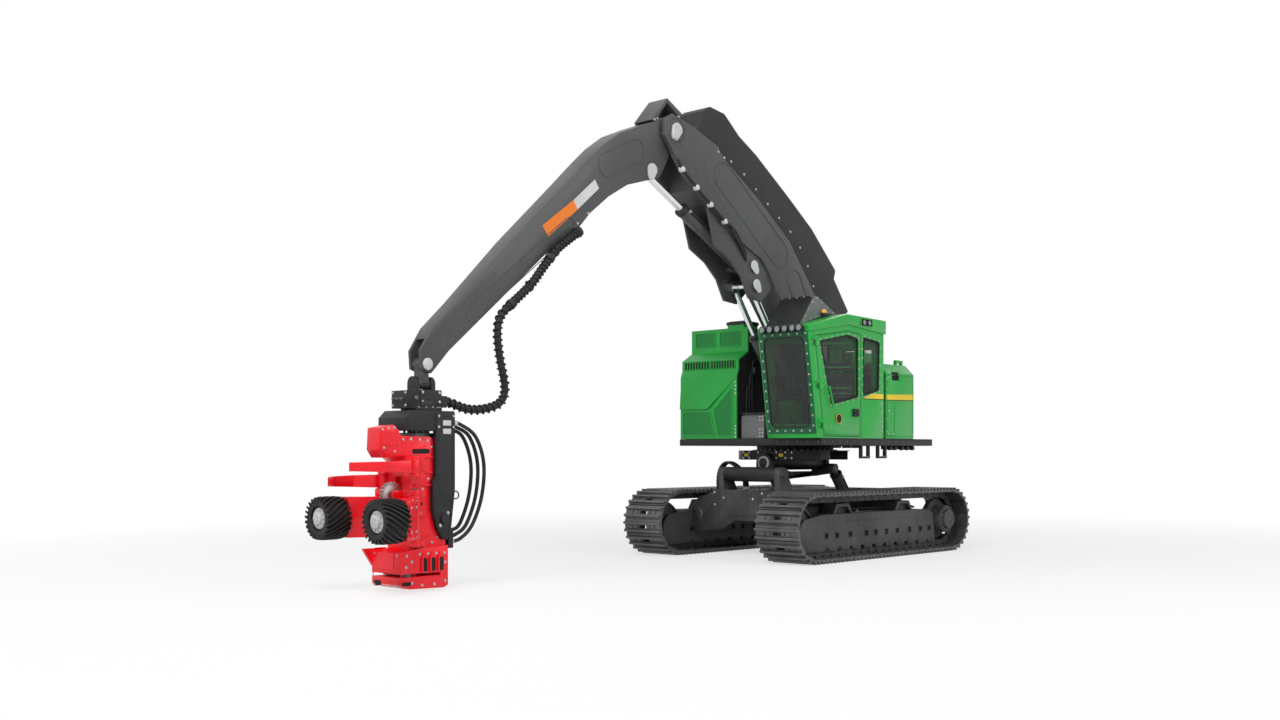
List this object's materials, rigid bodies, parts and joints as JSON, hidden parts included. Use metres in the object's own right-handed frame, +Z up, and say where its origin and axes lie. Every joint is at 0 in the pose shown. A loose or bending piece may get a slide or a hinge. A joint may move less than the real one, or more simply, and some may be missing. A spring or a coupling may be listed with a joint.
{
  "type": "forestry harvester",
  "caption": "Tracked forestry harvester with a levelling upper works, green cab and housing, dark grey boom and stick, and a red felling and processing head that hangs from a rotator.",
  "frame": {"origin": "centre of the whole machine's footprint box on the ground under the tracks", "axes": "+X ahead, the way the cab, boom and tracks face in the picture; +Y to the operator's left, the cab's side; +Z up"},
  "size_m": [11.427, 3.39, 6.6996],
  "materials": {
    "body_green": "satin",
    "boom_grey": "satin",
    "dark_green": "satin",
    "head_red": "satin",
    "hose_rubber": "matte",
    "iron_black": "matte",
    "pane": "clear",
    "rod_steel": "polished",
    "seat_cloth": "matte",
    "track_grey": "rough"
  },
  "bodies": {
    "boom": {"boom": "boom_grey", "boom_hose_guard": "iron_black", "boom_hoses": "hose_rubber"},
    "upper_works": {"boom_tower": "boom_grey", "cab_roof": "body_green", "cab_shell": "body_green", "counterweight": "body_green", "engine_block": "iron_black", "engine_housing": "body_green", "lamp_row": "iron_black", "main_deck": "iron_black", "rear_box": "body_green", "rear_pane": "pane", "rear_side_pane": "pane", "right_pane": "pane", "roof_guard": "iron_black", "seat": "seat_cloth", "tank_box": "body_green", "well_box": "dark_green", "windscreen": "pane"},
    "door": {"cab_door": "body_green", "door_pane": "pane"},
    "undercarriage": {"carbody": "track_grey", "final_drive_left": "track_grey", "final_drive_right": "track_grey", "idler_left": "track_grey", "idler_right": "track_grey", "track_frame_left": "track_grey", "track_frame_right": "track_grey", "track_left": "track_grey", "track_right": "track_grey"},
    "roller_left": {"feed_roller_left": "iron_black"},
    "roller_right": {"feed_roller_right": "iron_black"},
    "head_barrel": {"head_barrel": "boom_grey"},
    "head": {"head_chassis": "head_red"},
    "head_link": {"head_link": "boom_grey"},
    "head_rod": {"head_rod": "rod_steel"},
    "stick": {"hose_bundle": "hose_rubber", "stick": "boom_grey", "stick_hose": "hose_rubber"},
    "knife_left": {"knife_left": "head_red"},
    "knife_right": {"knife_right": "head_red"},
    "level_barrels": {"level_barrel_left": "boom_grey", "level_barrel_right": "boom_grey"},
    "level_rods": {"level_rod_left": "rod_steel", "level_rod_right": "rod_steel"},
    "level_yoke": {"level_yoke": "boom_grey"},
    "lift_barrels": {"lift_barrels": "boom_grey"},
    "lift_rods": {"lift_rods": "rod_steel"},
    "measuring_wheel": {"measuring_wheel": "rod_steel"},
    "arm_left": {"roller_arm_left": "head_red"},
    "arm_right": {"roller_arm_right": "head_red"},
    "rotator": {"rotator": "iron_black"},
    "saw_bar": {"saw_bar": "rod_steel"},
    "stick_barrel": {"stick_barrel": "boom_grey"},
    "stick_rod": {"stick_rod": "rod_steel"},
    "tilt_frame": {"tilt_frame": "iron_black"},
    "tilt_table": {"tilt_table": "boom_grey"}
  },
  "joints": [
    {"name": "level_pitch", "type": "hinge", "parent": "undercarriage", "child": "level_yoke", "pos_m": [-1.9665, 0, 1.28], "axis": [0, -1, 0], "range_deg": [-26, 7]},
    {"name": "level_roll", "type": "hinge", "parent": "level_yoke", "child": "tilt_table", "pos_m": [-3.0865, 0, 1.46], "axis": [-1, 0, 0], "range_deg": [-14, 14]},
    {"name": "swing", "type": "hinge", "parent": "tilt_table", "child": "upper_works", "pos_m": [-3.0865, 0, 1.73], "axis": [0, 0, -1], "continuous": true},
    {"name": "door_hinge", "type": "hinge", "parent": "upper_works", "child": "door", "pos_m": [-1.60549, 1.547, 2.63], "axis": [-0.151, 0, -0.9885], "range_deg": [0, 100]},
    {"name": "boom_lift", "type": "hinge", "parent": "upper_works", "child": "boom", "pos_m": [-3.3365, 0.1, 2.95], "axis": [0, -1, 0], "range_deg": [-42, 25]},
    {"name": "stick_fold", "type": "hinge", "parent": "boom", "child": "stick", "pos_m": [0.2737, 0.1, 6.19982], "axis": [0, 1, 0], "range_deg": [-40, 45]},
    {"name": "link_swing", "type": "hinge", "parent": "stick", "child": "head_link", "pos_m": [4.54374, 0.1, 2.67964], "axis": [0, -1, 0], "range_deg": [-60, 60], "deforming": ["hose_bundle"]},
    {"name": "link_cross", "type": "hinge", "parent": "head_link", "child": "rotator", "pos_m": [4.54374, 0.1, 2.44964], "axis": [1, 0, 0], "range_deg": [-25, 25]},
    {"name": "rotator_turn", "type": "hinge", "parent": "rotator", "child": "tilt_frame", "pos_m": [4.54374, 0.1, 2.12], "axis": [0, 0, 1], "continuous": true},
    {"name": "head_tilt", "type": "hinge", "parent": "tilt_frame", "child": "head", "pos_m": [4.4125, 0.1, 0.833], "axis": [0, 1, 0], "range_deg": [0, 85]},
    {"name": "arm_left_swing", "type": "hinge", "parent": "head", "child": "arm_left", "pos_m": [4.8935, 0.43, 0.855], "axis": [0, 0, -1], "range_deg": [-12, 18]},
    {"name": "roller_left_spin", "type": "hinge", "parent": "arm_left", "child": "roller_left", "pos_m": [5.4635, 0.67, 0.855], "axis": [1, 0, 0], "continuous": true},
    {"name": "knife_left_swing", "type": "hinge", "parent": "head", "child": "knife_left", "pos_m": [4.8735, 0.4, 1.465], "axis": [0, 0, 1], "range_deg": [-8, 45]},
    {"name": "arm_right_swing", "type": "hinge", "parent": "head", "child": "arm_right", "pos_m": [4.8935, -0.23, 0.855], "axis": [0, 0, 1], "range_deg": [-12, 18]},
    {"name": "roller_right_spin", "type": "hinge", "parent": "arm_right", "child": "roller_right", "pos_m": [5.4635, -0.47, 0.855], "axis": [1, 0, 0], "continuous": true},
    {"name": "knife_right_swing", "type": "hinge", "parent": "head", "child": "knife_right", "pos_m": [4.8735, -0.2, 1.285], "axis": [0, 0, -1], "range_deg": [-8, 45]},
    {"name": "measuring_wheel_spin", "type": "hinge", "parent": "head", "child": "measuring_wheel", "pos_m": [4.9835, 0.1, 1.13], "axis": [0, 1, 0], "continuous": true},
    {"name": "saw_swing", "type": "hinge", "parent": "head", "child": "saw_bar", "pos_m": [4.9435, 0.35, 0.2], "axis": [0, 0, 1], "range_deg": [0, 80]},
    {"name": "level_rod_swing", "type": "hinge", "parent": "undercarriage", "child": "level_rods", "pos_m": [-4.0165, 0, 0.4], "axis": [0, -1, 0], "range_deg": [-2.25, 8.33]},
    {"name": "level_barrel_slide", "type": "slide", "parent": "level_rods", "child": "level_barrels", "axis": [0.6267, 0, 0.7793], "range_m": [-0.1395, 0.5175]},
    {"name": "lift_barrel_swing", "type": "hinge", "parent": "upper_works", "child": "lift_barrels", "pos_m": [-3.0165, 0.1, 2.2], "axis": [0, -1, 0], "range_deg": [-36.13, 21.51]},
    {"name": "lift_rod_slide", "type": "slide", "parent": "lift_barrels", "child": "lift_rods", "axis": [0.5855, 0, 0.8107], "range_m": [-0.5426, 0.3231]},
    {"name": "stick_barrel_swing", "type": "hinge", "parent": "boom", "child": "stick_barrel", "pos_m": [-1.5265, 0.1, 4.46], "axis": [0, 1, 0], "range_deg": [-0.46, 0.41]},
    {"name": "stick_rod_slide", "type": "slide", "parent": "stick_barrel", "child": "stick_rod", "axis": [0.886, 0, 0.4637], "range_m": [-0.5029, 0.447]},
    {"name": "head_barrel_swing", "type": "hinge", "parent": "tilt_frame", "child": "head_barrel", "pos_m": [4.3485, 0.1, 1.81], "axis": [0, 1, 0], "range_deg": [-8.51, 0.01]},
    {"name": "head_rod_slide", "type": "slide", "parent": "head_barrel", "child": "head_rod", "axis": [0.2354, 0, -0.9719], "range_m": [-0.0002, 0.3859]}
  ],
  "couplings": [
    {"joint": "level_rod_swing", "follows": "level_pitch", "ratio": -0.32},
    {"joint": "level_barrel_slide", "follows": "level_pitch", "m_per_rad": -1.14},
    {"joint": "lift_barrel_swing", "follows": "boom_lift", "ratio": 0.86},
    {"joint": "lift_rod_slide", "follows": "boom_lift", "m_per_rad": 0.74},
    {"joint": "stick_barrel_swing", "follows": "stick_fold", "ratio": -0.01},
    {"joint": "stick_rod_slide", "follows": "stick_fold", "m_per_rad": -0.64},
    {"joint": "head_barrel_swing", "follows": "head_tilt", "ratio": -0.1},
    {"joint": "head_rod_slide", "follows": "head_tilt", "m_per_rad": 0.26}
  ]
}
